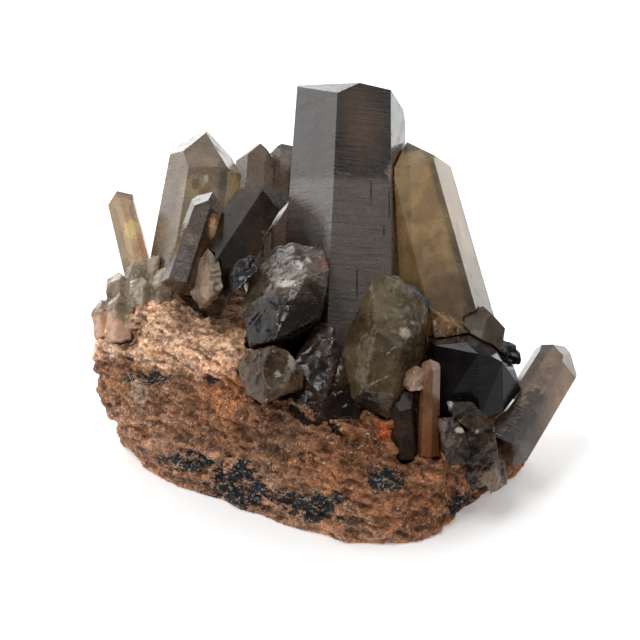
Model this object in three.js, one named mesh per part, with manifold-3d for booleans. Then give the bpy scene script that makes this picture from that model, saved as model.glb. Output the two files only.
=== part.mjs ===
// A cluster of morion, dark smoky quartz, on its piece of reddish granite. Millimetres, +Z up.
// Everything is laid out as the specimen is seen from its front: x to the right, y up and z
// towards the viewer. The whole is then tilted back so that its flat underside lies level.
import * as THREE from "three";
import { ConvexGeometry } from "three/addons/geometries/ConvexGeometry.js";
import { mergeVertices } from "three/addons/utils/BufferGeometryUtils.js";
import Module from "manifold-3d";

const wasm = await Module();
wasm.setup();

const VIEW_ELEVATION = 28; // degrees above the horizon from which the front is seen
const SEAM = 0.3; // gap between a crystal and what it grows from or beside
const BROKEN_SEAM = 0.42; // the same for a broken crystal, whose corners move out instead of its faces
const STONE_CENTRE = [-5, -15, -7];
const STONE_STEPS = 16; // divisions of each of the twenty sides of the stone's first net
const STONE_ROUNDING = 26; // higher keeps the edges between broken faces sharper
const STONE_GRAIN = 0.8; // height of the small lumps
const STONE_LUMP = 1.6; // height of the large lumps
const GRAIN_SIZE = 3.6; // width of the small lumps
const LUMP_SIZE = 11; // width of the large lumps
const LEDGE_HEIGHT = 5.5; // from one step in the broken front to the next
const LEDGE_DEPTH = 0.9;
const LEDGE_SLANT = 0.25; // how fast the steps fall to the right
const LEDGE_WAVE = 3; // how far the steps wander up and down
const LEDGE_WAVE_SIZE = 14;
const UNDERSIDE_ROOM = 2; // the rough form reaches this far below the flat cut under it
const HOLLOW_DETAIL = 3; // divisions of each side of the net of the hollow
const FLOOR_POINT = [16, -40.7, 14]; // lowest front corner of the stone, on its underside
const STONE_COLOR = 0xa87858;
const STONE_ROUGHNESS = 0.9;
const FACE_ROUGHNESS = 0.15; // grown crystal faces
const BROKEN_ROUGHNESS = 0.25;
const CRUST_ROUGHNESS = 0.4;

// Broken faces of the stone: the way each faces, and a point that it passes through.
const stoneFaces = [
  { faces: [0, -0.39, 0.92], through: [2, -32, 15.5] }, // front, lower band
  { faces: [-0.45, 0.44, 0.78], through: [-15.6, 5, 7] }, // pale front slope
  { faces: [0.15, 0.28, 0.95], through: [2, -20, 14.5] }, // front, upper band
  { faces: [-0.5, -0.25, 0.8], through: [-15.2, -35.1, 1.6] }, // lower front, left
  { faces: [0.78, -0.28, 0.56], through: [27.5, -35, 3] }, // lower front, right
  { faces: [-0.95, -0.1, 0.2], through: [-44.8, -5, -6] }, // left end
  { faces: [-0.8, -0.56, 0.15], through: [-37.9, -19.9, -10.3] }, // left undercut
  { faces: [-0.6, 0.7, 0.35], through: [-39.5, 6, -6] }, // left shoulder
  { faces: [0.95, 0, 0.1], through: [40.5, -26, -6] }, // right end
  { faces: [0.3, 0.85, 0.42], through: [35, -22.6, 4] }, // right shoulder
  { faces: [0.3, 0.9, 0.28], through: [-25, 10, -4] }, // top, where the crystals stand
  { faces: [0, 0.68, -0.74], through: [0, -6, -28] }, // back
  { faces: [-0.6, 0.45, -0.66], through: [-30, -8, -23] }, // back left
  { faces: [0.62, 0.4, -0.66], through: [27, -18, -22] }, // back right
];

// Whole crystals. foot and tip are points on the axis, spin turns the front face to the right,
// reach gives how far the six sides lie from the axis, from the front face round to the right,
// taper is how fast they close in, and each cap is a face of the point: [facing, slope, height].
const crystals = {
  main_crystal: {
    foot: [4.5, -9.5, -7],
    tip: [6.4, 46, -22],
    spin: 15,
    reach: [9.9, 9, 10.2, 9.2, 9.5, 9.9],
    taper: 1.7,
    caps: [[-23, 44.5, 5], [60, 8, -2.8], [105, 62, 17.5], [230, 50, 7.6], [180, 45, 2], [132, 50, 7]],
    color: 0x3a3532,
  },
  right_small_crystal: {
    foot: [27, -14, 4],
    tip: [30.8, 2.2, -2.4],
    spin: 32,
    reach: [4, 3.8, 3.8, 3.6, 3.6, 4.2],
    taper: 1,
    caps: [[60, 40, -0.2], [-40, 50, 0.4], [180, 45, 1]],
    color: 0x6d5a48,
  },
  right_tall_crystal: {
    foot: [27.8, -11.5, -5],
    tip: [16.6, 34, -20],
    spin: 9,
    reach: [7.6, 6.2, 7.4, 8, 8, 8.5],
    taper: 0.6,
    caps: [[8, 41, -0.6], [68, 48, 1.2], [200, 50, 4], [-60, 50, 3]],
    color: 0x7a6648,
  },
  small_dark_crystal: {
    foot: [-25.6, 6, 2.6],
    tip: [-20.4, 23.3, -4],
    spin: -8,
    reach: [2.7, 2.4, 2.7, 2.7, 2.5, 2.7],
    taper: 1.5,
    caps: [[-40, 55, 0.6], [50, 62, 1.2], [180, 50, 0.5]],
    color: 0x5c4a3c,
  },
  left_dark_crystal: {
    foot: [-22, 4.8, 2],
    tip: [-9.6, 25.4, -14],
    spin: 25,
    reach: [4.6, 4.4, 4.8, 4.8, 4.4, 4.6],
    taper: 1,
    caps: [[-62, 42, -1.4], [30, 60, 2.4], [180, 50, 3]],
    color: 0x463c34,
  },
  left_tall_crystal: {
    foot: [-26.5, 1, -12],
    tip: [-22.2, 36, -24],
    spin: 12,
    reach: [6.2, 6.6, 6.5, 6.5, 5.4, 6],
    taper: 1.6,
    caps: [[60, 52, 1], [-45, 50, 1.6], [5, 62, 3], [190, 50, 2]],
    color: 0x9a8a76,
  },
  far_left_crystal: {
    foot: [-34.2, 8, -13],
    tip: [-39, 24.6, -20],
    spin: 30,
    reach: [2.7, 2.4, 2.6, 2.7, 2.5, 2.6],
    taper: 0.6,
    caps: [[40, 50, 0.3], [-60, 50, 1], [180, 50, 1]],
    color: 0xa58c68,
  },
  back_left_crystal: {
    foot: [-13.7, 9, -21],
    tip: [-12.9, 35, -34],
    spin: 10,
    reach: [3.4, 3.2, 3.4, 3.4, 3.2, 3.4],
    taper: 1,
    caps: [[70, 45, 0.8], [-50, 52, 0.4], [190, 48, 0.6]],
    color: 0x85705f,
  },
  back_slim_crystal: {
    foot: [-7.9, 9, -23],
    tip: [-7.5, 34.8, -36],
    spin: 20,
    reach: [2.6, 2.3, 2.5, 2.6, 2.3, 2.5],
    taper: 1,
    caps: [[20, 50, 1], [-70, 52, 1.4], [200, 48, 1]],
    color: 0x7d6150,
  },
  right_outer_crystal: {
    foot: [32.9, -23.4, 4.6],
    tip: [45, -5.6, -4],
    spin: 33,
    reach: [4.3, 4.5, 4.5, 4.4, 3.8, 3.9],
    taper: 0.5,
    caps: [[-27, 52, 1.2], [33, 52, 1.5], [-8, 38, 0.2], [-84, 40, 1.5], [95, 52, 2.8], [180, 45, 4.4]],
    color: 0x8c7c6a,
  },
  front_prism: {
    foot: [19.2, -24, 13],
    tip: [19.6, -7.6, 15],
    spin: -12,
    reach: [1.5, 1.3, 1.5, 1.8, 1.4, 1.5],
    taper: 0.8,
    caps: [[-40, 60, 1], [40, 50, 0.6], [180, 50, 0.6]],
    color: 0x8a6f5a,
  },
  front_dark_prism: {
    foot: [15.4, -24.5, 12.5],
    tip: [14.8, -13.5, 13.5],
    spin: 6,
    reach: [1.8, 1.7, 1.8, 2, 1.7, 1.8],
    taper: 0.8,
    caps: [[0, 55, 0.4], [180, 40, 1]],
    color: 0x3c302b,
  },
};

// Crusts of small crystals grown into one another, each given as [foot, tip, reach, spin].
const crusts = {
  left_crust: {
    color: 0x8d8068,
    points: [
      [[-39.5, -3, -8], [-41, 3.5, -9], 2.2, 10],
      [[-37.5, -1, -9], [-38.2, 8.6, -12], 2.4, 35],
      [[-34.5, 1, -9], [-34.6, 11.5, -13], 2.3, 5],
      [[-31.5, 2, -9], [-30.6, 12.4, -13], 2.3, 25],
      [[-37, -4, -4], [-37.4, 4.6, -6], 2.1, 20],
      [[-33.5, -2, -4], [-33.2, 7.6, -7], 2.2, 40],
      [[-30, 0, -5], [-28.8, 9.4, -6.5], 2, 15],
    ],
  },
  back_crust: {
    color: 0x6f6252,
    points: [
      [[-28, 4, -12], [-33, 12, -22], 2.6, 20],
      [[-25, 3, -16], [-27.5, 12, -29], 3.2, 10],
      [[-20.5, 1, -17], [-21, 7, -27], 2.5, 35],
      [[-17, 0, -18], [-17.5, 8.5, -32], 3.4, 5],
      [[-12, -1, -19], [-12, 3, -29], 2.7, 25],
      [[-8, -2, -20], [-6.5, 5.5, -33], 3, 50],
      [[-3, -3, -20], [-1.5, 2, -30], 2.6, 15],
      [[1, -4, -20], [2.6, 3, -35], 3.8, 40],
      [[6.5, -5, -19], [8.5, -1, -29], 2.7, 0],
      [[11, -6, -19], [14, 0, -32], 3.2, 20],
      [[16, -7, -17], [18.5, -4, -26], 2.6, 30],
      [[20, -8, -15], [25, -3, -25], 3.4, 10],
      [[24.5, -10, -12], [30, -8, -19], 2.5, 45],
    ],
  },
};

// Broken crystals and chips, each given by its corners.
const brokenCrystals = {
  black_crystal: {
    color: 0x131110,
    lumps: [[
      [20, -3, -2], [27.5, -2, 0], [31, -3.5, 0], [35.5, -8.5, 2], [20.5, -4.5, 12], [26, -4, 13],
      [28, -6, 14], [32.5, -7.5, 12], [36.5, -12.5, 5], [33, -16.5, 8], [21, -17, 11],
      [28.5, -17.5, 11], [20, -14.5, 8], [20.5, -15, -6], [35.5, -15, -4], [29.5, -19.5, 0],
    ]],
  },
  left_broken_crystal: {
    color: 0x5b4d42,
    lumps: [[
      [-12, 10.5, 0], [-8, 13.5, 0], [-5, 14, 0], [0.5, 13, 2], [1.5, 10, 3], [-10, 3.5, 9],
      [-7.5, 5.5, 11], [-5, 6, 12], [-2.5, 7.5, 12], [1.5, 9, 9], [-14, 2.5, 6], [-13, -2, 10],
      [-12.5, -4.5, 11], [-8, -3.5, 14], [-0.5, 0.5, 12], [1, 5.5, 11], [-13, -5.5, -4], [0, -3.5, -4],
    ]],
  },
  right_broken_crystal: {
    color: 0x6b5b42,
    lumps: [[
      [9.5, 7.5, 8], [11.5, 8, 8], [14, 8, 7], [15, 6, 9], [17, 5, 8], [19.5, 2, 6], [18.5, -7, 8],
      [16, -16, 10], [12, -17.5, 12], [4.5, -14.5, 10], [3, -7, 9], [7, -3, 12], [10, -2, 15],
      [14, -5.5, 16], [13, -13, 16], [8, -12.5, 15], [15, 5.5, 3], [19.5, 0, 0], [17, -15, 2],
      [5.5, -13, 2],
    ]],
  },
  centre_broken_crystal: {
    color: 0x3a2c25,
    lumps: [
      [
        [-2, -3.5, 9], [-0.5, -0.5, 8], [2.5, -1, 9], [3.5, -7, 11], [1, -14, 13.5], [-2.5, -15, 12],
        [-5, -8, 11], [-2, -3.5, 2], [1, -12, 2],
      ],
      [
        [2.5, -4, 9], [7.5, -5.5, 10], [5.5, -14, 12], [7, -20.5, 12.5], [3, -20.5, 13.5], [0.5, -12, 12],
        [2, -6, 2], [5.5, -18.5, 2],
      ],
      [[-4, -11, 11], [1, -12, 13], [3.5, -20, 13], [-1, -21, 13.5], [-5, -16, 12.5], [-1, -15, 4]],
    ],
  },
  hollow_crystal: {
    color: 0x5a4434,
    lumps: [[
      [-13, -5.5, 10], [-8.5, -4.5, 13], [-5.5, -5.5, 13], [-3, -9.5, 13], [-3, -12, 13],
      [-6, -12.5, 16], [-10, -15, 15], [-13, -13, 12], [-15, -8.5, 9], [-13, -7.5, 2],
      [-4.5, -11, 2], [-10, -14.5, 4],
    ]],
    hollow: { at: [-8.6, -8.2, 17.4], radius: 4.6 },
  },
  small_black_lump: {
    color: 0x2a2626,
    lumps: [[
      [-16.5, 8.5, 4], [-15, 11, 4], [-12, 11.5, 5], [-11, 9, 7], [-14.5, 5.5, 8], [-16.5, 4.5, 7],
      [-15, 9.5, 0],
    ]],
  },
  grey_lump: {
    color: 0x8b7869,
    lumps: [[
      [-23.5, 5, 3], [-22.5, 10.5, 2], [-20.6, 13.4, 2], [-18.3, 11, 3.5], [-17.5, 6, 7], [-20, 4, 8],
      [-20, 8.5, 6.5], [-22, 2, 0], [-18, 4, 0],
    ]],
  },
  right_chips: {
    color: 0x2e2825,
    lumps: [
      [
        [22.5, -14.5, 14], [27, -14.5, 15], [31, -19, 13], [31, -20.5, 12], [26.5, -19.5, 17],
        [23.5, -17, 17], [24, -18.5, 4], [31, -20, 4],
      ],
      [
        [20.8, -17.5, 14], [23.5, -17, 16], [25.5, -20, 18], [26.5, -25, 17], [22.5, -25.5, 17],
        [21.4, -21.5, 15], [22, -20, 4], [26.5, -25.5, 4],
      ],
      [
        [26, -19.5, 16], [31, -20, 14], [31.5, -25, 13], [26, -25.5, 16], [28.5, -22, 3], [32, -25.5, 3],
      ],
      [
        [26, -25, 15], [30.5, -24.8, 13], [30, -29, 13], [27, -30.5, 14], [25.5, -27.5, 15],
        [28, -27, 4],
      ],
      [
        [29.5, -25, 12.5], [33.2, -25.5, 9], [33.5, -29.5, 8], [30.5, -31, 11], [29, -28, 12.5],
        [31, -27, 2],
      ],
    ],
  },
  gold_chip: {
    color: 0xa07a44,
    lumps: [[
      [20, 2, 2], [22.5, 1.4, 0], [27.5, -1, 1], [27, -2.5, 4], [21, -3.5, 4], [22.5, -3, -4],
      [27, -4, -4],
    ]],
  },
  dark_chip: {
    color: 0x363a3e,
    lumps: [[
      [15.5, 6.5, 2], [17, 6.5, 0], [20, 3.5, 2], [19.5, 1.5, 5], [17, 4.5, 5], [17, 2, -4],
      [19.5, -1, -4],
    ]],
  },
  pale_chip: {
    color: 0x9b8474,
    lumps: [[
      [15, -9.5, 13], [17, -8, 14], [18.4, -9, 15], [18.2, -12, 15.5], [16, -12.5, 16], [15, -11.5, 14],
      [16.5, -11, 6],
    ]],
  },
  black_flakes: {
    color: 0x171b22,
    lumps: [[
      [30.8, -3, 1.5], [33, -2.8, 0], [36.8, -5.8, 0], [37, -7.4, 1], [33.5, -6, 2.4], [31, -5, -3],
      [36, -8, -3],
    ]],
  },
};

function vector(list) {
  return new THREE.Vector3(...list);
}

function turned(angle, first, second) {
  const turn = THREE.MathUtils.degToRad(angle);
  return first.clone().multiplyScalar(Math.cos(turn)).addScaledVector(second, Math.sin(turn));
}

// The flat faces that bound a crystal, each as a plane whose normal points out.
function crystalPlanes({ foot, tip, spin, reach, taper, caps }, room = 0) {
  const footPoint = vector(foot);
  const tipPoint = vector(tip);
  const axis = tipPoint.clone().sub(footPoint).normalize();
  const front = new THREE.Vector3(0, 0, 1).projectOnPlane(axis).normalize();
  const right = axis.clone().cross(front);
  const facing = (angle, slope) => turned(slope, axis, turned(angle, front, right));
  const plane = (normal, point) =>
    new THREE.Plane().setFromNormalAndCoplanarPoint(normal, point.clone().addScaledVector(normal, room));
  const sides = reach.map((distance, side) => {
    const outward = turned(spin + 60 * side, front, right);
    return plane(facing(spin + 60 * side, 90 - taper), tipPoint.clone().addScaledVector(outward, distance));
  });
  const points = caps.map(([angle, slope, height]) =>
    plane(facing(angle, slope), tipPoint.clone().addScaledVector(axis, height)));
  return [...sides, ...points, plane(axis.clone().negate(), footPoint)];
}

// The corners of the closed form inside a set of planes: every point where three of them meet.
function cornersInside(planes) {
  const corners = [];
  const inside = (point) => planes.every((plane) => plane.distanceToPoint(point) < 1e-6);
  for (let i = 0; i < planes.length; i++) {
    for (let j = i + 1; j < planes.length; j++) {
      for (let k = j + 1; k < planes.length; k++) {
        const [a, b, c] = [planes[i], planes[j], planes[k]];
        const bc = b.normal.clone().cross(c.normal);
        const spread = a.normal.dot(bc);
        if (Math.abs(spread) < 1e-9) continue;
        const point = bc.multiplyScalar(-a.constant)
          .addScaledVector(c.normal.clone().cross(a.normal), -b.constant)
          .addScaledVector(a.normal.clone().cross(b.normal), -c.constant)
          .divideScalar(spread);
        if (inside(point)) corners.push(point);
      }
    }
  }
  return corners;
}

function solid(geometry) {
  const bare = geometry.clone();
  bare.deleteAttribute("normal");
  bare.deleteAttribute("uv");
  const merged = mergeVertices(bare, 1e-4);
  return new wasm.Manifold(new wasm.Mesh({
    numProp: 3,
    vertProperties: merged.attributes.position.array,
    triVerts: new Uint32Array(merged.index.array),
  }));
}

function geometryOf(made) {
  const mesh = made.getMesh();
  const geometry = new THREE.BufferGeometry()
    .setAttribute("position", new THREE.BufferAttribute(mesh.vertProperties, 3))
    .setIndex(new THREE.BufferAttribute(mesh.triVerts, 1))
    .toNonIndexed();
  geometry.computeVertexNormals();
  return geometry;
}

function crystalSolid(spec, room = 0) {
  return solid(new ConvexGeometry(cornersInside(crystalPlanes(spec, room))));
}

function grown(corners, room) {
  const points = corners.map(vector);
  const middle = points.reduce((sum, point) => sum.add(point), new THREE.Vector3());
  middle.divideScalar(points.length);
  return points.map((point) => {
    const away = point.clone().sub(middle);
    return point.addScaledVector(away.normalize(), room);
  });
}

function joined(parts) {
  return parts.reduce((whole, part) => whole.add(part));
}

function crustSolid({ points }, room = 0) {
  return joined(points.map(([foot, tip, reach, spin]) => crystalSolid({
    foot,
    tip,
    spin,
    reach: [reach, reach, reach, reach, reach, reach],
    taper: 2,
    caps: [[spin + 40, 48, 0.5], [spin - 65, 52, 0.9], [spin + 170, 50, 0.6]],
  }, room)));
}

function brokenSolid({ lumps, hollow }, room = 0) {
  const whole = joined(lumps.map((corners) => solid(new ConvexGeometry(grown(corners, room)))));
  if (!hollow || room) return whole;
  const ball = new THREE.IcosahedronGeometry(hollow.radius, HOLLOW_DETAIL).translate(...hollow.at);
  return whole.subtract(solid(ball));
}

// Smooth random heights that repeat exactly from one run to the next.
function scatter(x, y, z) {
  const mixed = Math.sin(x * 127.1 + y * 311.7 + z * 74.7) * 43758.5453;
  return mixed - Math.floor(mixed);
}

function noise(x, y, z) {
  const [cx, cy, cz] = [x, y, z].map(Math.floor);
  const [u, v, w] = [x - cx, y - cy, z - cz].map((t) => t * t * (3 - 2 * t));
  const mix = (a, b, t) => a + (b - a) * t;
  const corner = (i, j, k) => scatter(cx + i, cy + j, cz + k);
  const row = (j, k) => mix(corner(0, j, k), corner(1, j, k), u);
  return mix(mix(row(0, 0), row(1, 0), v), mix(row(0, 1), row(1, 1), v), w) * 2 - 1;
}

// Broken rock inside the given faces: its net of triangles is pushed out to them, then roughened
// with lumps and steps, and cut off flat underneath.
function stoneSolid() {
  const up = turned(VIEW_ELEVATION, new THREE.Vector3(0, 1, 0), new THREE.Vector3(0, 0, 1));
  const centre = vector(STONE_CENTRE);
  const planes = stoneFaces.map(({ faces, through }) => {
    const normal = vector(faces).normalize();
    return { normal, distance: normal.dot(vector(through).sub(centre)) };
  });
  const depth = up.dot(centre.clone().sub(vector(FLOOR_POINT)));
  planes.push({ normal: up.clone().negate(), distance: depth + UNDERSIDE_ROOM });
  const geometry = new THREE.IcosahedronGeometry(1, STONE_STEPS);
  const net = geometry.attributes.position;
  const point = new THREE.Vector3();
  for (let i = 0; i < net.count; i++) {
    point.fromBufferAttribute(net, i).normalize();
    const pulls = planes.map(({ normal, distance }) => Math.max(0, point.dot(normal)) / distance);
    const reach = pulls.reduce((sum, pull) => sum + pull ** STONE_ROUNDING, 0) ** (-1 / STONE_ROUNDING);
    const at = centre.clone().addScaledVector(point, reach);
    const lump = noise(...at.clone().divideScalar(LUMP_SIZE)) * STONE_LUMP;
    const grain = noise(...at.clone().divideScalar(GRAIN_SIZE)) * STONE_GRAIN;
    const wave = noise(...at.clone().divideScalar(LEDGE_WAVE_SIZE)) * LEDGE_WAVE;
    const height = (at.dot(up) + at.x * LEDGE_SLANT + wave) / LEDGE_HEIGHT;
    const ledge = (0.5 - (height - Math.floor(height))) * LEDGE_DEPTH;
    at.addScaledVector(point, lump + grain + ledge);
    net.setXYZ(i, at.x, at.y, at.z);
  }
  const rough = solid(geometry);
  return rough.trimByPlane(up.toArray(), up.dot(vector(FLOOR_POINT)));
}

const specimen = new THREE.Group();
const rooms = [];

// A piece placed earlier stays whole, and a later one grows up to the room left round it.
function place(name, made, { color, roughness }) {
  const clear = rooms.reduce((rest, taken) => rest.subtract(taken), made);
  const largest = clear.decompose().sort((a, b) => b.volume() - a.volume())[0];
  const material = new THREE.MeshStandardMaterial({ color, roughness, metalness: 0 });
  const mesh = new THREE.Mesh(geometryOf(largest), material);
  mesh.name = name;
  specimen.add(mesh);
}

for (const [name, spec] of Object.entries(brokenCrystals)) {
  place(name, brokenSolid(spec), { color: spec.color, roughness: BROKEN_ROUGHNESS });
  rooms.push(brokenSolid(spec, BROKEN_SEAM));
}
for (const [name, spec] of Object.entries(crystals)) {
  place(name, crystalSolid(spec), { color: spec.color, roughness: FACE_ROUGHNESS });
  rooms.push(crystalSolid(spec, SEAM));
}
for (const [name, spec] of Object.entries(crusts)) {
  place(name, crustSolid(spec), { color: spec.color, roughness: CRUST_ROUGHNESS });
  rooms.push(crustSolid(spec, SEAM));
}
place("stone", stoneSolid(), { color: STONE_COLOR, roughness: STONE_ROUGHNESS });

specimen.rotation.x = THREE.MathUtils.degToRad(90 - VIEW_ELEVATION);

// The origin is the middle of the space that the specimen takes up, on the surface it rests on.
const morionCluster = new THREE.Group();
morionCluster.add(specimen);
const space = new THREE.Box3().setFromObject(morionCluster, true);
specimen.position.set(-(space.min.x + space.max.x) / 2, -(space.min.y + space.max.y) / 2, -space.min.z);

export default morionCluster;
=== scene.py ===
"""Looks of a cluster of dark smoky quartz on granite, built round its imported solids."""
import math

import bmesh
import bpy
import numpy as np
from mathutils import Euler, Matrix, Vector, noise


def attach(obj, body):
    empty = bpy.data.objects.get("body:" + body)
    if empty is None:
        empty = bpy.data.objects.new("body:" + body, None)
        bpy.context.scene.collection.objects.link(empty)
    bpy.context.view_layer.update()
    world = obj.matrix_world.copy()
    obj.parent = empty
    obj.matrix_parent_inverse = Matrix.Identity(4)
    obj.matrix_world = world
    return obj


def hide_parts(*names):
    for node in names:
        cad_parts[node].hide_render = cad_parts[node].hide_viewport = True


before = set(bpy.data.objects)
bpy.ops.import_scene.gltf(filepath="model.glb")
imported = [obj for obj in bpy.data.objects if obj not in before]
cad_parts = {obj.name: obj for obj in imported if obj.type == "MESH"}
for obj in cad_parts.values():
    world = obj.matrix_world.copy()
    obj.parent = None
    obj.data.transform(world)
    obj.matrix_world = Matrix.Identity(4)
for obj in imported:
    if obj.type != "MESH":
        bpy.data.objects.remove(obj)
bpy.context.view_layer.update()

MM = 0.001
ELEVATION = math.radians(28)  # the front is seen from this far above the horizon
DISTANCE = 360  # mm from the camera to the origin of the specimen's own axes
PIXELS_PER_MM = 5.432  # at that distance
HALF_PICTURE = 320  # pixels
ORIGIN = Vector((-2.225, -9.877, 29.363))  # of the specimen's own axes, in mm in the row frame
TILT = math.pi / 2 - ELEVATION

QUARTZ_IOR = 1.544
STONE_IOR = 1.53
STONE_VOXEL = 0.38  # mm
LAYER_SLOPE = (0, 0, 0.33)  # radians by which the stone's layers fall to the right
FLOOR_FADE = 0.8  # mm above the floor in which relief fades out
MERGE_DISTANCE = 0.001  # mm
CUT_ROUNDS = 5
WORN_EDGE = 0.09  # mm
WORN_ANGLE = math.radians(20)  # edges sharper than this are worn
CRISP_ANGLE = math.radians(22)  # edges sharper than this stay crisp on broken pieces
BROKEN_HAZE = 0.7
BROKEN_GLOSS = 0.18
BROKEN_ROUGHNESS = 0.22  # the least that a broken face has

FLOOR_REACH = 2.5  # m
FLOOR_DROP = 0.0002  # m under the specimen
FLOOR_GLOW = 0.26
SKY_TURN = (-0.6, 0.5)  # from the viewer's side, -1, to behind the specimen, 1
SKY_STRENGTH = (0.05, 0.3)  # before the first of these and after the second
LIGHTS_AIM = Vector((0, 0.02, 0.03))  # m
SUN_STRENGTH = 1.25
SUN_ANGLE = math.radians(25)
SUN_DIRECTION = Vector((0.36, 0.36, -0.86))
LENS, SENSOR_WIDTH = 110.0, 36  # mm

to_world = Matrix.Translation(ORIGIN) @ Matrix.Rotation(TILT, 4, "X")
to_specimen = to_world.inverted()


# ---- Places of markings.
def seen(across, down, depth):
    """The point seen so many pixels across and down in the picture, depth mm towards the viewer."""
    size = PIXELS_PER_MM * DISTANCE / (DISTANCE - depth)
    return ((across - HALF_PICTURE) / size, (HALF_PICTURE - down) / size, depth)


# ---- Shader nodes. Every method gives back an output socket, and takes sockets or plain values.
class Nodes:
    def __init__(self, name):
        self.material = bpy.data.materials.new(name)
        self.material.use_nodes = True
        self.tree = self.material.node_tree
        self.tree.nodes.clear()
        place = self.add("ShaderNodeTexCoord").outputs["Object"]
        turn = Euler((-TILT, 0, 0))
        shift = -(turn.to_matrix() @ ORIGIN)
        self.here = self.mapped(place, shift, turn, (1 / MM,) * 3)

    def add(self, kind, inputs=None, **settings):
        node = self.tree.nodes.new(kind)
        for key, value in settings.items():
            setattr(node, key, value)
        for key, value in (inputs or {}).items():
            self.put(node.inputs[key], value)
        return node

    def put(self, socket, value):
        if isinstance(value, bpy.types.NodeSocket):
            self.tree.links.new(value, socket)
        elif hasattr(socket.default_value, "__len__"):
            value = tuple(value) if hasattr(value, "__len__") else (value,) * 3
            room = len(socket.default_value)
            socket.default_value = value + (1,) if len(value) < room else value[:room]
        else:
            socket.default_value = value

    def mapped(self, vector, location=(0, 0, 0), rotation=(0, 0, 0), scale=(1, 1, 1)):
        node = self.add("ShaderNodeMapping", {0: vector, 1: location, 2: rotation, 3: scale})
        return node.outputs[0]

    def noise(self, size, detail=3, rough=0.55, vector=None, shift=0, distort=0):
        vector = self.mapped(vector or self.here, (shift, shift * 0.7, -shift), scale=(1 / size,) * 3)
        node = self.add("ShaderNodeTexNoise", {
            "Vector": vector, "Scale": 1, "Detail": detail, "Roughness": rough, "Distortion": distort})
        return node.outputs["Fac"]

    def cells(self, size, vector=None, shift=0, feature="F1", output="Color"):
        vector = self.mapped(vector or self.here, (shift, -shift, shift), scale=(1 / size,) * 3)
        node = self.add("ShaderNodeTexVoronoi", {"Vector": vector, "Scale": 1}, feature=feature)
        return node.outputs[output]

    def math(self, operation, first, second):
        return self.add("ShaderNodeMath", {0: first, 1: second}, operation=operation).outputs[0]

    def warped(self, reach):
        """The place, pushed about at random by up to about half of reach, in mm."""
        push = self.add("ShaderNodeTexNoise", {"Vector": self.here, "Scale": 0.9, "Detail": 2})
        push = self.vector_math("SUBTRACT", push.outputs["Color"], (0.5, 0.5, 0.5))
        return self.vector_math("ADD", self.here, self.scaled(push, reach))

    def vector_math(self, operation, first, second=(0, 0, 0), output=0, scale=None):
        inputs = {0: first, 1: second} if scale is None else {0: first, "Scale": scale}
        node = self.add("ShaderNodeVectorMath", inputs, operation=operation)
        return node.outputs[output]

    def span(self, value, low, high, out_low=0, out_high=1):
        """Goes smoothly from out_low to out_high as the value goes from low to high."""
        node = self.add("ShaderNodeMapRange", {0: value, 1: low, 2: high, 3: out_low, 4: out_high},
                        interpolation_type="SMOOTHSTEP")
        return node.outputs[0]

    def mix(self, share, first, second):
        return self.add("ShaderNodeMix", {0: share, 6: first, 7: second}, data_type="RGBA").outputs[2]

    def paint(self, colour, mask, strength, mark):
        """The colour, covered by the mark's where the mask is 1, as far as strength says."""
        return self.mix(self.math("MULTIPLY", mask, strength), colour, mark)

    def scaled(self, vector, factor):
        return self.vector_math("SCALE", vector, scale=factor)

    def ramp(self, value, stops):
        node = self.add("ShaderNodeValToRGB", {0: value})
        elements = node.color_ramp.elements
        while len(elements) < len(stops):
            elements.new(0.5)
        for element, (position, colour) in zip(elements, stops):
            element.position = position
            element.color = (*colour, 1)
        return node.outputs[0]

    def patch(self, centre, radius, soft=0.5, ragged=0.5, stretch=(1, 1, 1), size=None):
        """1 inside a rough-edged patch round a point, 0 outside."""
        away = self.vector_math("SUBTRACT", self.here, centre)
        away = self.vector_math("MULTIPLY", away, stretch)
        distance = self.vector_math("LENGTH", away, output="Value")
        wobble = self.noise(size or radius * 0.5, 4, 0.65, shift=centre[0] * 3.7)
        wobble = self.math("MULTIPLY", self.math("SUBTRACT", wobble, 0.5), ragged * radius * 3)
        distance = self.math("ADD", distance, wobble)
        return self.span(distance, radius * (1 - soft), radius * (1 + soft), 1, 0)

    def most(self, *masks):
        """1 where any of the masks is 1."""
        whole = masks[0]
        for mask in masks[1:]:
            whole = self.math("MAXIMUM", whole, mask)
        return whole

    def facets(self, size, shift=0):
        """Height of a surface broken into small flat faces, each tipped its own way."""
        vector = self.mapped(self.here, (shift, -shift, shift * 0.4), scale=(1 / size,) * 3)
        node = self.add("ShaderNodeTexVoronoi", {"Vector": vector, "Scale": 1})
        lean = self.vector_math("SUBTRACT", node.outputs["Color"], (0.5, 0.5, 0.5))
        across = self.vector_math("SUBTRACT", vector, node.outputs["Position"])
        return self.vector_math("DOT_PRODUCT", lean, across, output="Value")

    def bump(self, height, depth, below=None):
        """The normal of a surface with this height, times depth in mm, on top of the relief below."""
        inputs = {"Height": height, "Distance": depth * MM}
        if below is not None:
            inputs["Normal"] = below
        return self.add("ShaderNodeBump", inputs).outputs[0]

    def finish(self, inputs, absorb=None, density=0):
        """The material, clear inside with the given absorption colour and density, where it has one."""
        surface = self.add("ShaderNodeBsdfPrincipled", inputs)
        out = self.add("ShaderNodeOutputMaterial", {"Surface": surface.outputs[0]})
        if absorb is not None:
            volume = self.add("ShaderNodeVolumeAbsorption")
            volume.inputs["Color"].default_value = (*absorb, 1)
            volume.inputs["Density"].default_value = density
            self.tree.links.new(volume.outputs[0], out.inputs["Volume"])
        return self.material


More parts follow.
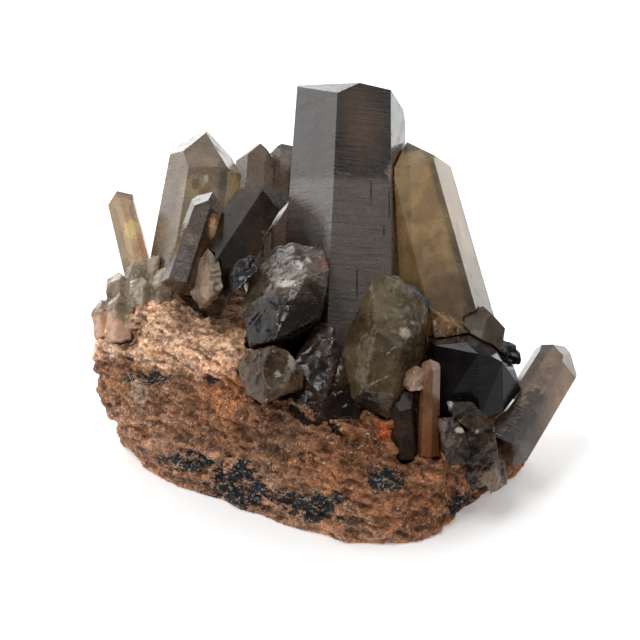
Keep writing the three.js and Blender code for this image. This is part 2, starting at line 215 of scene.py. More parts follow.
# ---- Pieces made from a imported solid, finer than it.
def fine_copy(node, name, voxel):
    """A closed mesh of the node's shape with small even faces."""
    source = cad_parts[node]
    mesh = source.data.copy()
    mesh.transform(source.matrix_world)
    piece = bpy.data.objects.new(name, mesh)
    bpy.context.collection.objects.link(piece)
    remesh = piece.modifiers.new("fine", "REMESH")
    remesh.mode = "VOXEL"
    remesh.voxel_size = voxel * MM
    remesh.adaptivity = 0
    graph = bpy.context.evaluated_depsgraph_get()
    fine = bpy.data.meshes.new_from_object(piece.evaluated_get(graph))
    piece.modifiers.clear()
    piece.data = fine
    piece.data.materials.clear()
    return piece


def cut_copy(node, name, edge):
    """The node's mesh with its corners kept, and no edge much longer than edge mm."""
    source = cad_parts[node]
    solid = bmesh.new()
    solid.from_mesh(source.data)
    solid.transform(source.matrix_world)
    bmesh.ops.remove_doubles(solid, verts=solid.verts, dist=MERGE_DISTANCE * MM)
    bmesh.ops.triangulate(solid, faces=solid.faces[:])
    for _ in range(CUT_ROUNDS):
        long_edges = [line for line in solid.edges if line.calc_length() > edge * 1.5 * MM]
        bmesh.ops.subdivide_edges(solid, edges=long_edges, cuts=1)
        bmesh.ops.triangulate(solid, faces=[face for face in solid.faces if len(face.verts) > 3])
    mesh = bpy.data.meshes.new(name)
    solid.to_mesh(mesh)
    solid.free()
    piece = bpy.data.objects.new(name, mesh)
    bpy.context.collection.objects.link(piece)
    return piece


def of_vertices(piece, attribute):
    flat = np.empty(len(piece.data.vertices) * 3)
    piece.data.vertices.foreach_get(attribute, flat)
    return flat.reshape(-1, 3)


def tipped_cells(point, size, seed):
    """Height of small flat faces, each tipped its own way, in shares of size."""
    scaled = point / size + Vector((seed, -seed, seed * 0.6))
    centre = noise.voronoi(scaled)[1][0]
    lean = noise.cell_vector(centre * 7.3) - Vector((0.5, 0.5, 0.5))
    return lean.dot(scaled - centre)


def bowls(point, size, seed):
    """Height of a surface of shallow bowls with ridges between them, as in broken glass."""
    near = noise.voronoi(point / size + Vector((seed, -seed, seed * 0.6)))[0][0]
    return near * near


def roughen(piece, height):
    """Moves every point along its normal by height(point), in mm and in the specimen's own axes."""
    points, normals = of_vertices(piece, "co"), of_vertices(piece, "normal")
    turn = np.array(to_specimen.to_3x3())
    shift = np.array(to_specimen.translation)
    local = points / MM @ turn.T + shift
    moves = np.array([height(Vector(p)) for p in local]) * MM
    moves *= np.clip(points[:, 2] / (FLOOR_FADE * MM), 0, 1)
    moved = points + normals * moves[:, None]
    moved[:, 2] = np.maximum(moved[:, 2], 0)
    piece.data.vertices.foreach_set("co", moved.ravel())
    piece.data.polygons.foreach_set("use_smooth", [True] * len(piece.data.polygons))
    piece.data.update()


def stand_for(piece, node):
    """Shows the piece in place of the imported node."""
    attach(piece, "root")
    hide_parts(node)


# ---- The stone.
to_layers = Matrix.Rotation(math.radians(19), 3, "Z")


def stone_height(p):
    """Relief of the stone: broad swells, ledges along its layers, lumps, and broken faces."""
    broad = noise.fractal(p / 9, 0.9, 2.1, 4) * 0.6
    along = to_layers @ p
    layer = noise.fractal(Vector((along.x / 8, along.y / 2.6, along.z / 5)), 0.8, 2.0, 3)
    ledge = math.tanh(layer * 4.5) * 0.55
    medium = noise.fractal(p / 2.4 + Vector((7, 3, 1)), 0.7, 2.2, 4) * 0.5
    faces = tipped_cells(p, 2.6, 3.1) * 0.7
    return broad + ledge + medium + faces - 0.15


def stone_material():
    m = Nodes("granite")
    across, up = m.add("ShaderNodeSeparateXYZ", {0: m.here}).outputs[:2]
    wander = m.math("MULTIPLY", m.math("SUBTRACT", m.noise(8, 5, 0.6, shift=2), 0.5), 18)
    # Three tones for three parts of the stone. The upper part is paler and the lower darker: partly the
    # stone's own colours, partly painted light on the top and painted shade below.
    height = m.math("ADD", m.math("ADD", up, m.math("MULTIPLY", across, 0.12)), wander)
    low = m.span(height, -14, -9, 1, 0)
    right = m.span(m.math("ADD", across, wander), -6, 14)
    colour = m.mix(low, (0.88, 0.54, 0.345), (0.3, 0.148, 0.078))
    colour = m.paint(colour, right, 0.7, (0.36, 0.145, 0.062))
    base = m.span(m.math("ADD", height, m.math("MULTIPLY", across, 0.28)), -34, -28, 1, 0)
    colour = m.paint(colour, base, 0.6, (0.46, 0.245, 0.148))
    # Spots a few millimetres across: pinkish, orange, and greyish brown.
    spot = m.add("ShaderNodeTexNoise", {
        "Vector": m.mapped(m.here, rotation=LAYER_SLOPE, scale=(0.22, 0.5, 0.3)),
        "Scale": 1, "Detail": 5, "Roughness": 0.65}).outputs["Color"]
    first, second, third = m.add("ShaderNodeSeparateColor", {0: spot}).outputs[:3]
    colour = m.scaled(colour, m.span(first, 0.32, 0.68, 0.55, 1.5))
    colour = m.paint(colour, m.span(second, 0.52, 0.66), 0.6, (0.56, 0.22, 0.075))
    colour = m.paint(colour, m.span(third, 0.54, 0.68), 0.5, (0.24, 0.16, 0.115))
    # Patches with places of their own.
    cream = m.patch(seen(140, 393, -4), 1.5, 0.5, 0.8, (1, 0.6, 0.5), size=0.8)
    colour = m.paint(colour, cream, 0.55, (0.72, 0.56, 0.42))
    line = m.most(*(m.patch(seen(x, y, -4), 0.8, 0.5, 0.5, (1.2, 0.5, 0.4))
                    for x, y in ((134, 300), (128, 314), (122, 328), (116, 341), (111, 352))))
    colour = m.paint(colour, line, 0.8, (0.9, 0.66, 0.5))
    orange = m.most(
        m.patch(seen(225, 395, 7), 4.5, 0.5, 0.8, (0.8, 0.8, 0.5), size=1.8),
        m.patch(seen(232, 430, 9), 3.5, 0.5, 0.8, (0.8, 0.8, 0.5), size=1.8),
        m.patch(seen(345, 455, 14), 5, 0.5, 0.8, (0.5, 1, 0.5), size=1.8))
    colour = m.paint(colour, orange, 0.6, (0.5, 0.18, 0.06))
    # Painted shade: darker patches where the stone meets the crystals.
    painted_contact_shade = m.most(
        m.patch(seen(285, 430, 12), 7, 0.5, 0.6, (0.6, 1.2, 0.5), size=2.5),
        m.patch(seen(380, 455, 14), 5, 0.5, 0.6, (0.5, 1.2, 0.5), size=2.5))
    colour = m.paint(colour, painted_contact_shade, 0.6, (0.13, 0.065, 0.035))
    red = m.most(
        m.patch(seen(206, 378, 5), 0.8, 0.5, 0.9, size=0.5),
        m.patch(seen(214, 388, 6), 0.7, 0.5, 0.9, size=0.5),
        m.patch(seen(384, 428, 13), 1.5, 0.5, 0.9, (1, 0.6, 1), size=0.6),
        m.patch(seen(299, 415, 13), 0.6, 0.6, 0.9, size=0.4))
    colour = m.paint(colour, red, 0.9, (0.62, 0.13, 0.035))
    # Grains, each with a lightness of its own, some of them white.
    pick = m.add("ShaderNodeSeparateColor", {0: m.cells(0.36, m.warped(0.5))}).outputs[0]
    colour = m.scaled(colour, m.ramp(
        pick, [(0, (0.5,) * 3), (0.3, (0.85,) * 3), (0.7, (1.1,) * 3), (0.95, (1.45,) * 3)]))
    light = m.math("MULTIPLY", m.span(m.noise(0.5, 2, 0.6, shift=17), 0.62, 0.68),
                   m.span(m.noise(3.5, shift=31), 0.42, 0.6, 0.12, 0.8))
    colour = m.mix(light, colour, (0.86, 0.72, 0.6))
    # Black mineral in ragged patches, and in specks.
    veins = m.noise(1.5, 5, 0.72, m.mapped(m.here, rotation=LAYER_SLOPE, scale=(0.55, 1.3, 0.8)), 14)
    near = m.most(
        m.patch(seen(238, 476, 3), 3.4, 0.5, 0.4, (0.55, 1, 0.5)),
        m.patch(seen(232, 494, 4), 4.0, 0.5, 0.4, (0.45, 1.2, 0.5)),
        m.patch(seen(310, 505, 11), 4.2, 0.5, 0.4, (0.5, 1.4, 0.5)),
        m.patch(seen(386, 481, 15), 3.0, 0.4, 0.4, (0.8, 1.2, 0.5)),
        m.patch(seen(462, 505, 6), 2.6, 0.5, 0.4, (0.5, 1.3, 0.5)),
        m.patch(seen(150, 378, -3), 2.8, 0.5, 0.4, (0.45, 2.2, 0.5)),
        m.patch(seen(211, 377, 4), 1.3, 0.5, 0.4, (0.7, 1, 0.5)),
        m.patch(seen(187, 462, -2), 3.0, 0.5, 0.4, (0.4, 1.5, 0.5)))
    black = m.span(m.math("ADD", veins, m.math("MULTIPLY", near, 0.24)), 0.66, 0.7)
    colour = m.mix(black, colour, m.ramp(pick, [(0, (0.01, 0.01, 0.012)), (0.8, (0.035, 0.033, 0.035)),
                                                (0.97, (0.3, 0.27, 0.24))]))
    # Painted shade and painted highlight: hollows are darker and edges lighter, from the relief of the
    # piece itself.
    hollow = m.add("ShaderNodeNewGeometry").outputs["Pointiness"]
    colour = m.scaled(colour, m.span(hollow, 0.44, 0.54, 0.45, 1.25))
    # Relief finer than the mesh.
    bump = m.bump(m.facets(1.3, 3), 0.5)
    bump = m.bump(m.facets(0.55, 8), 0.35, bump)
    bump = m.bump(m.noise(0.45, 4, 0.75, shift=1), 0.3, bump)
    rough = m.span(pick, 0.86, 0.9, 0.82, 0.3)
    return m.finish({"Base Color": colour, "Roughness": rough, "Normal": bump, "IOR": STONE_IOR,
                     "Specular IOR Level": 0.3})


stone = fine_copy("stone", "granite_matrix", STONE_VOXEL)
roughen(stone, stone_height)
stone.data.materials.append(stone_material())
stand_for(stone, "stone")


# ---- Quartz.
def quartz(name, tint, deep, haze, absorb, density, rough=0.1, veil=None, lines=0.0,
           axis=(0, 1, 0), broken=False, base_shade=None, marks=(), extra=None, gloss=0.5):
    """One crystal's material.

    tint, deep: colours of its light and dark clouds; veil: of the pale wisps in them.
    haze: from 0 clear to 1 opaque; absorb, density: of the clear inside; gloss: of reflections.
    lines: mm of relief added to the growth lines; axis: the way in which the crystal points.
    fade: painted shade towards the base; a lower and an upper height in mm, and the share of lightness
    left below them.
    marks: patches, each with its place, radius in mm, stretch, colour and strength.
    extra: a function that adds details of its own to the colour.
    """
    m = Nodes(name)
    shift = len(name)
    cloud = m.noise(4.5, 5, 0.6, shift=shift)
    colour = m.mix(m.span(cloud, 0.38, 0.62), deep, tint)
    if veil is not None:
        wisps = m.span(m.noise(2.2, 5, 0.7, m.mapped(m.here, scale=(1, 0.5, 1)), 3, 1.5), 0.58, 0.75)
        colour = m.paint(colour, wisps, 0.5, veil)
    if broken:
        pocket = m.span(m.noise(2.6, 4, 0.6, shift=shift + 3, distort=0.8), 0.55, 0.68)
        colour = m.paint(colour, pocket, 0.75, m.mix(0.35, (0.01, 0.008, 0.006), deep))
        # Painted highlight: pale lines along the edges of broken cells, for light caught on ridges.
        ridge_highlight = m.cells(3.4, m.warped(1.2), shift, "DISTANCE_TO_EDGE", "Distance")
        ridge_highlight = m.math("MULTIPLY", m.span(ridge_highlight, 0.0, 0.03, 1, 0), m.span(m.noise(2.5), 0.46, 0.56))
        colour = m.paint(colour, ridge_highlight, 0.6, veil or tint)
    # Painted shade: the colour darkens towards the base, below the given heights.
    if base_shade is not None:
        bottom, top, least = base_shade
        up = m.add("ShaderNodeSeparateXYZ", {0: m.here}).outputs[1]
        uneven = m.math("ADD", up, m.math("MULTIPLY", cloud, 4))
        colour = m.scaled(colour, m.span(uneven, bottom + 2, top + 2, least, 1))
    for centre, radius, stretch, mark, strength in marks:
        mask = m.patch(seen(*centre), radius, 0.3, 0.75, stretch, size=radius * 0.4)
        colour = m.paint(colour, mask, strength, mark)
    if extra is not None:
        colour = extra(m, colour)
    flecks = m.math("MULTIPLY", m.span(m.noise(0.42, 1, 0.5, shift=shift), 0.76, 0.8),
                    m.span(m.noise(3, shift=5), 0.5, 0.6, 0.03, 0.45))
    colour = m.mix(flecks, colour, (0.75, 0.7, 0.64))
    turn = Vector(axis).rotation_difference(Vector((0, 0, 1))).to_euler()
    along = m.mapped(m.here, rotation=turn)
    fine = m.noise(1, 3, 0.6, m.mapped(along, scale=(0.12, 0.12, 2.4)))
    bump = m.bump(fine, 0.03 + lines)
    if broken:
        far = m.cells(1.9, None, 4 + shift, output="Distance")
        bump = m.bump(m.math("MULTIPLY", far, far), 0.1, bump)
        bump = m.bump(m.noise(0.8, 3, 0.6, shift=2), 0.035, bump)
        rough = max(rough, BROKEN_ROUGHNESS)
    else:
        scratch = m.noise(0.5, 2, 0.6, m.mapped(along, rotation=(0, 0.9, 0.3), scale=(0.15, 1, 2)), 6)
        bump = m.bump(scratch, 0.015 + lines * 0.4, bump)
    dull = m.span(m.noise(2.2, 4, 0.65, shift=8), 0.4, 0.75, rough * 0.6, rough * 2.2)
    return m.finish({
        "Base Color": colour, "Roughness": dull, "Normal": bump, "IOR": QUARTZ_IOR,
        "Specular IOR Level": gloss, "Transmission Weight": 1 - haze}, absorb, density)


def main_details(m, colour):
    """Grey lower front, painted shade at the foot on the left, a painted glow near the top, pinkish
    spots, and cracks.
    """
    across, up = m.add("ShaderNodeSeparateXYZ", {0: m.here}).outputs[:2]
    ragged = m.math("MULTIPLY", m.math("SUBTRACT", m.noise(2.5, 3, 0.5), 0.5), 3)
    lower = m.span(m.math("ADD", up, ragged), 25.5, 27.5, 1, 0)
    streak = m.noise(1, 3, 0.6, m.mapped(m.here, scale=(0.15, 2.6, 0.15)))
    grey = m.ramp(streak, [(0.35, (0.2, 0.166, 0.14)), (0.65, (0.33, 0.28, 0.243))])
    colour = m.paint(colour, lower, 0.9, grey)
    # Painted shade: near black at the foot on the left.
    foot_shade = m.math("MULTIPLY", m.span(across, 0.3, 1.6, 1, 0), m.span(up, 10, 25, 1, 0))
    colour = m.paint(colour, foot_shade, 0.92, (0.012, 0.009, 0.008))
    # Painted glow: light shining through the crystal near the top.
    glow = m.patch(seen(362, 125, -10), 3.2, 0.8, 0.3, (1, 0.45, 0.5))
    colour = m.paint(colour, glow, 0.5, (0.3, 0.17, 0.09))
    pink = m.most(
        m.patch(seen(338, 175, -8), 1.3, 0.4, 0.5, (0.6, 1.3, 0.5), size=0.8),
        m.patch(seen(393, 172, -8), 1.2, 0.4, 0.5, (0.9, 0.7, 0.5), size=0.8))
    colour = m.paint(colour, pink, 0.8, (0.5, 0.38, 0.3))
    cracks = m.most(*(
        m.patch(seen(x, y, z), length, 0.1, 0.04, (length / 0.17, 1, 0.2))
        for x, y, z, length in ((371, 192, -6, 2.3), (384, 231, -4, 1.2), (357, 283, 0, 3.2),
                                (389, 205, -7, 3.0))))
    return m.paint(colour, cracks, 0.85, DARK)


WHITE = (0.66, 0.61, 0.52)
# Colour of painted glow, light shining inside a crystal.
GLOW = (0.5, 0.34, 0.13)
DARK = (0.012, 0.01, 0.009)

# Whole crystals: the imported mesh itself, with worn edges. Slot, and look.
looks = {
    "main_crystal": ("dark_quartz", dict(
        tint=(0.08, 0.067, 0.058), deep=(0.045, 0.037, 0.033), haze=0.42, absorb=(0.2, 0.15, 0.1),
        density=170, rough=0.16, lines=0.06, axis=(0.03, 0.96, -0.26), extra=main_details)),
    "right_tall_crystal": ("brown_quartz", dict(
        tint=(0.6, 0.44, 0.22), deep=(0.34, 0.24, 0.13), haze=0.3, absorb=(0.5, 0.36, 0.18),
        density=120, rough=0.14, veil=(0.6, 0.5, 0.4), lines=0.04, axis=(-0.23, 0.93, -0.3),
        base_shade=(2, 18, 0.45))),
    "left_tall_crystal": ("pale_quartz", dict(
        tint=(0.292, 0.219, 0.151), deep=(0.178, 0.129, 0.0842), haze=0.42, absorb=(0.7, 0.58, 0.4),
        density=80, rough=0.2, veil=(0.446, 0.355, 0.267), lines=0.04, axis=(0.12, 0.93, -0.3), marks=(
            ((236, 190, -20), 2.2, (1, 0.4, 0.5), (0.34, 0.26, 0.06), 0.8),
            ((193, 190, -14), 2.0, (0.9, 0.7, 0.5), (0.5, 0.42, 0.24), 0.6),
            ((196, 184, -14), 0.9, (1, 0.8, 0.5), (0.05, 0.035, 0.025), 0.75),
            ((203, 191, -13), 0.8, (1, 1, 0.5), (0.26, 0.09, 0.02), 0.85),
            ((206, 178, -14), 0.6, (1.3, 0.8, 0.5), WHITE, 0.85)))),
    "far_left_crystal": ("pale_quartz", dict(
        tint=(0.494, 0.344, 0.18), deep=(0.342, 0.215, 0.105), haze=0.4, absorb=(0.75, 0.58, 0.3),
        density=60, rough=0.2, veil=(0.57, 0.43, 0.3), axis=(-0.26, 0.9, -0.38), marks=(
            ((132, 229, -14), 1.5, (1, 0.8, 0.5), (0.95, 0.72, 0.24), 0.85),
            ((145, 243, -13), 1.9, (1, 0.7, 0.5), (0.5, 0.19, 0.04), 0.85),
            ((130, 202, -14), 0.7, (1.5, 0.6, 0.5), (0.12, 0.1, 0.08), 0.6)))),
    "small_dark_crystal": ("dark_quartz", dict(
        tint=(0.144, 0.075, 0.0383), deep=(0.064, 0.036, 0.0203), haze=0.3, absorb=(0.42, 0.3, 0.18),
        density=130, rough=0.15, veil=(0.28, 0.162, 0.09), axis=(0.27, 0.9, -0.34), marks=(
            ((213, 229, 0), 1.0, (1.6, 0.5, 0.4), (0.75, 0.5, 0.3), 0.9),
            ((200, 220, 0), 1.6, (1.3, 0.5, 0.4), (0.16, 0.07, 0.03), 0.8),
            ((190, 241, 0), 1.3, (1.2, 0.6, 0.4), (0.28, 0.19, 0.06), 0.7)))),
    "left_dark_crystal": ("dark_quartz", dict(
        tint=(0.099, 0.0525, 0.0225), deep=(0.027, 0.0154, 0.0085), haze=0.35,
        absorb=(0.35, 0.24, 0.12), density=150, rough=0.15, veil=(0.198, 0.112, 0.045),
        axis=(0.45, 0.75, -0.5), base_shade=(9, 20, 0.5), marks=(
            ((262, 244, -3), 3.2, (1, 0.7, 0.5), (0.15, 0.07, 0.028), 0.75),
            ((240, 232, -3), 2.2, (1, 0.7, 0.5), (0.08, 0.05, 0.03), 0.6),
            # Painted glow: two small spots of light inside the crystal.
            ((264, 232, -4), 0.35, (1, 1, 0.5), GLOW, 0.9),
            ((276, 224, -5), 0.25, (1, 1, 0.5), GLOW, 0.9)))),
    "back_left_crystal": ("brown_quartz", dict(
        tint=(0.2, 0.143, 0.0984), deep=(0.12, 0.0828, 0.0574), haze=0.4, absorb=(0.5, 0.38, 0.26),
        density=100, rough=0.2, veil=(0.3, 0.23, 0.164), axis=(0.02, 0.9, -0.45))),
    "back_slim_crystal": ("brown_quartz", dict(
        tint=(0.15, 0.1, 0.075), deep=(0.09, 0.065, 0.048), haze=0.4, absorb=(0.45, 0.32, 0.2),
        density=110, rough=0.2, veil=(0.22, 0.17, 0.14), axis=(0.02, 0.9, -0.45))),
    "right_small_crystal": ("pale_quartz", dict(
        tint=(0.27, 0.215, 0.16), deep=(0.15, 0.115, 0.085), haze=0.3, absorb=(0.5, 0.4, 0.26),
        density=120, rough=0.12, veil=(0.4, 0.33, 0.26), axis=(0.2, 0.9, -0.35))),
    "right_outer_crystal": ("pale_quartz", dict(
        tint=(0.36, 0.28, 0.215), deep=(0.2, 0.145, 0.1), haze=0.3, absorb=(0.5, 0.37, 0.25),
        density=170, rough=0.08, veil=(0.46, 0.38, 0.3), lines=0.03, axis=(0.52, 0.77, -0.37), marks=(
            # Painted shade: a dark core along the crystal, widest at its base.
            ((506, 446, 8), 2.6, (1, 1, 0.3), DARK, 0.9),
            ((516, 430, 8), 2.3, (1, 1, 0.3), DARK, 0.9),
            ((526, 414, 6), 2.1, (1, 1, 0.3), DARK, 0.9),
            ((535, 398, 5), 1.8, (1, 1, 0.3), DARK, 0.9),
            ((543, 382, 3), 1.1, (1, 1, 0.3), DARK, 0.6)))),
    "black_crystal": ("black_quartz", dict(
        tint=(0.012, 0.01, 0.01), deep=(0.006, 0.005, 0.005), haze=1.0, absorb=(0.08, 0.05, 0.03),
        density=400, rough=0.05, axis=(0, 0.9, 0.3), gloss=0.12)),
    "front_prism": ("brown_quartz", dict(
        tint=(0.468, 0.252, 0.137), deep=(0.306, 0.137, 0.065), haze=0.35, absorb=(0.7, 0.45, 0.26),
        density=110, rough=0.16, axis=(0.02, 0.99, 0.1), marks=(
            ((430, 445, 14), 2.4, (1, 0.6, 0.6), (0.42, 0.14, 0.04), 0.7),))),
    "front_dark_prism": ("dark_quartz", dict(
        tint=(0.13, 0.08, 0.055), deep=(0.065, 0.042, 0.03), haze=0.3, absorb=(0.35, 0.22, 0.14),
        density=150, rough=0.16, axis=(-0.05, 0.99, 0.1))),
}

# Broken crystals and crusts: slot, mm between the points of the mesh, share of relief, and look.
broken_looks = {
    "left_broken_crystal": ("brown_quartz", 0.3, 0.32, dict(
        tint=(0.126, 0.0907, 0.06), deep=(0.0521, 0.0353, 0.024), absorb=(0.4, 0.3, 0.2),
        density=130, veil=(0.186, 0.144, 0.108), marks=(
            ((298, 322, 12), 5.5, (0.6, 1.2, 0.3), (0.022, 0.018, 0.016), 0.93),
            ((258, 330, 11), 2.6, (1, 0.7, 0.3), DARK, 0.8),
            ((301, 270, 7), 0.7, (1.2, 0.6, 0.3), WHITE, 0.8),
            ((288, 284, 10), 0.9, (0.45, 1.4, 0.3), WHITE, 0.75),
            ((326, 266, 6), 1.1, (1, 0.6, 0.3), (0.2, 0.07, 0.045), 0.8)))),
    "right_broken_crystal": ("brown_quartz", 0.3, 0.3, dict(
        tint=(0.149, 0.0983, 0.0484), deep=(0.0788, 0.0508, 0.0257), absorb=(0.42, 0.31, 0.18),
        density=130, veil=(0.206, 0.152, 0.103), marks=(
            ((385, 300, 10), 2.6, (1, 0.7, 0.4), (0.17, 0.135, 0.06), 0.7),
            ((388, 350, 15), 2.8, (1, 1, 0.4), (0.1, 0.07, 0.045), 0.7),
            ((405, 333, 13), 0.9, (0.8, 1, 0.4), WHITE, 0.75),
            ((415, 322, 12), 0.6, (0.8, 1, 0.4), WHITE, 0.6),
            ((368, 405, 12), 2.2, (1, 0.7, 0.4), DARK, 0.85)))),
    "centre_broken_crystal": ("dark_quartz", 0.28, 0.36, dict(
        tint=(0.06, 0.0315, 0.0173), deep=(0.018, 0.0106, 0.00691), absorb=(0.35, 0.23, 0.14),
        density=150, veil=(0.14, 0.1, 0.07), marks=(
            ((318, 372, 12), 2.0, (1, 0.7, 0.4), DARK, 0.75),
            ((300, 398, 12), 2.2, (1, 0.7, 0.4), DARK, 0.8),
            ((345, 400, 13), 2.0, (1, 0.7, 0.4), DARK, 0.8)))),
    "hollow_crystal": ("brown_quartz", 0.28, 0.35, dict(
        tint=(0.143, 0.0828, 0.039), deep=(0.0714, 0.0396, 0.0195), absorb=(0.5, 0.34, 0.2),
        density=130, veil=(0.21, 0.144, 0.09), marks=(
            # Painted shade in the pit of the hollow.
            ((268, 363, 14), 1.1, (1, 0.9, 0.4), DARK, 0.8),
            ((274, 374, 12), 2.3, (1, 1, 0.4), (0.09, 0.055, 0.03), 0.6),
            ((292, 360, 14), 0.7, (1, 0.4, 0.4), WHITE, 0.6)))),
    "small_black_lump": ("black_quartz", 0.25, 0.6, dict(
        tint=(0.035, 0.028, 0.03), deep=(0.012, 0.01, 0.011), absorb=(0.1, 0.08, 0.06),
        density=250)),
    "grey_lump": ("pale_quartz", 0.28, 0.6, dict(
        tint=(0.42, 0.297, 0.204), deep=(0.24, 0.167, 0.112), absorb=(0.6, 0.46, 0.33),
        density=90, veil=(0.6, 0.468, 0.344), rough=0.2)),
    "right_chips": ("dark_quartz", 0.28, 0.4, dict(
        tint=(0.0718, 0.0439, 0.0275), deep=(0.0194, 0.0131, 0.0093), absorb=(0.32, 0.21, 0.13),
        density=160, veil=(0.221, 0.161, 0.114), marks=(
            # Painted highlights: three small white spots of light on the chips.
            ((450, 406, 14), 0.5, (1, 0.5, 0.4), WHITE, 0.9),
            ((460, 430, 17), 0.5, (0.6, 1, 0.4), WHITE, 0.9),
            ((477, 432, 16), 0.4, (1, 1, 0.4), WHITE, 0.8),
            ((440, 425, 14), 1.3, (1, 1, 0.4), (0.3, 0.22, 0.17), 0.6),
            ((466, 410, 14), 1.5, (1, 1, 0.4), DARK, 0.8),
            ((470, 452, 14), 1.8, (1, 1, 0.4), DARK, 0.7),
            ((490, 482, 11), 2.4, (1, 1, 0.4), (0.36, 0.25, 0.175), 0.85)))),
    "gold_chip": ("brown_quartz", 0.25, 0.5, dict(
        tint=(0.303, 0.153, 0.052), deep=(0.11, 0.054, 0.02), absorb=(0.7, 0.45, 0.17),
        density=110)),
    "dark_chip": ("black_quartz", 0.25, 0.3, dict(
        tint=(0.05, 0.053, 0.057), deep=(0.02, 0.021, 0.023), absorb=(0.2, 0.2, 0.2),
        density=220)),
    "pale_chip": ("pale_quartz", 0.22, 0.5, dict(
        tint=(0.562, 0.39, 0.278), deep=(0.315, 0.195, 0.122), absorb=(0.8, 0.62, 0.46),
        density=80)),
    "black_flakes": ("black_quartz", 0.22, 0.9, dict(
        tint=(0.03, 0.033, 0.045), deep=(0.01, 0.012, 0.016), absorb=(0.1, 0.1, 0.12),
        density=300)),
    "left_crust": ("crust_quartz", 0.28, 0.5, dict(
        tint=(0.46, 0.37, 0.265), deep=(0.26, 0.195, 0.13), absorb=(0.7, 0.56, 0.34),
        density=90, veil=(0.66, 0.539, 0.369), rough=0.2, marks=(
            ((103, 330, -4), 3.4, (0.8, 1, 0.3), (0.72, 0.43, 0.28), 0.9),
            ((126, 336, -2), 2.8, (0.8, 1, 0.3), (0.8, 0.5, 0.34), 0.9)))),
    "back_crust": ("crust_quartz", 0.45, 0.5, dict(
        tint=(0.4, 0.32, 0.22), deep=(0.24, 0.19, 0.13), absorb=(0.6, 0.47, 0.32),
        density=110, veil=(0.6, 0.52, 0.42), rough=0.2)),
}

for node, (slot, look) in looks.items():
    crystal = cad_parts[node]
    crystal.data.materials.clear()
    crystal.data.materials.append(quartz(node + "_quartz", **look))
    bevel = crystal.modifiers.new("worn_edges", "BEVEL")
    bevel.width = WORN_EDGE * MM
    bevel.segments = 2
    bevel.limit_method = "ANGLE"
    bevel.angle_limit = WORN_ANGLE

crisp_nodes = ("left_broken_crystal", "right_broken_crystal", "centre_broken_crystal",
               "right_chips", "grey_lump", "gold_chip", "dark_chip", "pale_chip")
for number, (node, (slot, spacing, amount, look)) in enumerate(broken_looks.items()):
    crisp = node in crisp_nodes
    lump = (cut_copy if crisp else fine_copy)(node, node + "_fracture", spacing)
    seed = 1.7 * number  # so that no two pieces break alike

    def broken_height(p):
        large = tipped_cells(p, 4.6, seed) * 1.3
        small = tipped_cells(p, 1.9, seed + 5) * 0.9 + (bowls(p, 2.6, seed + 2) - 0.3) * 0.4
        return (large + small) * amount + 0.08

    roughen(lump, broken_height)
    if crisp:
        lump.data.set_sharp_from_angle(angle=CRISP_ANGLE)
    lump.data.materials.append(quartz(
        node + "_quartz", broken=True, haze=BROKEN_HAZE, gloss=BROKEN_GLOSS, **look))
    stand_for(lump, node)


# ---- Stage: floor, light and camera.
floor_mesh = bpy.data.meshes.new("floor")
corners = [(x * FLOOR_REACH, y * FLOOR_REACH, 0) for x, y in ((-1, -1), (1, -1), (1, 1), (-1, 1))]
floor_mesh.from_pydata(corners, [], [(0, 1, 2, 3)])
floor = bpy.data.objects.new("floor", floor_mesh)
bpy.context.collection.objects.link(floor)
floor.location.z = -FLOOR_DROP
paper = Nodes("paper")
grain = paper.noise(30, 2, 0.5)
floor_mesh.materials.append(paper.finish({
    "Base Color": paper.ramp(grain, [(0, (0.93, 0.93, 0.93)), (1, (0.95, 0.95, 0.95))]),
    "Roughness": 0.9, "Emission Color": (1, 1, 1, 1), "Emission Strength": FLOOR_GLOW}))

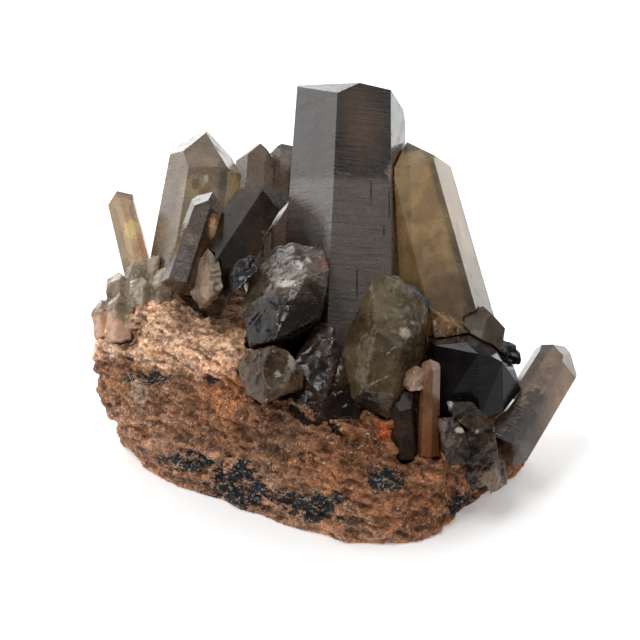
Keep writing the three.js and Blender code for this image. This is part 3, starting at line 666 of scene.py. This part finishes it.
world = bpy.data.worlds.new("studio")
bpy.context.scene.world = world
world.use_nodes = True
nodes, links = world.node_tree.nodes, world.node_tree.links
nodes.clear()
place = nodes.new("ShaderNodeTexCoord")
split = nodes.new("ShaderNodeSeparateXYZ")
links.new(place.outputs["Generated"], split.inputs[0])
front = nodes.new("ShaderNodeMapRange")
front.interpolation_type = "SMOOTHSTEP"
for socket, value in zip(front.inputs[1:5], SKY_TURN + SKY_STRENGTH):
    socket.default_value = value
links.new(split.outputs[1], front.inputs[0])
sky = nodes.new("ShaderNodeBackground")
sky.inputs[0].default_value = (1, 1, 1, 1)
links.new(front.outputs[0], sky.inputs[1])
shown = nodes.new("ShaderNodeOutputWorld")
links.new(sky.outputs[0], shown.inputs[0])


def panel(name, place, width, height, radiance):
    """A soft rectangular light that faces the specimen, placed and measured in m.

    Radiance is how bright its face looks.
    """
    data = bpy.data.lights.new(name, "AREA")
    data.shape = "RECTANGLE"
    data.size, data.size_y = width, height
    data.energy = math.pi * width * height * radiance
    lamp = bpy.data.objects.new(name, data)
    bpy.context.collection.objects.link(lamp)
    lamp.location = place
    lamp.rotation_euler = (LIGHTS_AIM - Vector(place)).to_track_quat("-Z", "Y").to_euler()


panel("back_panel", (-0.41, 0.75, 0.3), 0.74, 0.6, 3.3)
panel("left_panel", (-0.7, 0.12, 0.28), 0.7, 0.5, 2.0)
panel("top_panel", (0.05, 0.25, 0.9), 1.5, 1.3, 0.6)
panel("right_panel", (0.5, 0.38, 0.62), 0.6, 0.6, 1.7)
sun_data = bpy.data.lights.new("left_light", "SUN")
sun_data.energy = SUN_STRENGTH
sun_data.angle = SUN_ANGLE
sun = bpy.data.objects.new("left_light", sun_data)
bpy.context.collection.objects.link(sun)
sun.rotation_euler = SUN_DIRECTION.to_track_quat("-Z", "Y").to_euler()

camera_data = bpy.data.cameras.new("camera")
camera_data.lens = LENS
camera_data.sensor_width = SENSOR_WIDTH
camera_data.clip_start = 0.01
camera_data.clip_end = 20
camera = bpy.data.objects.new("camera", camera_data)
bpy.context.collection.objects.link(camera)
back = Vector((0, -math.cos(ELEVATION), math.sin(ELEVATION)))
camera.location = (ORIGIN + back * DISTANCE) * MM
camera.rotation_euler = (-back).to_track_quat("-Z", "Y").to_euler()
bpy.context.scene.camera = camera
bpy.context.scene.view_settings.view_transform = "Standard"
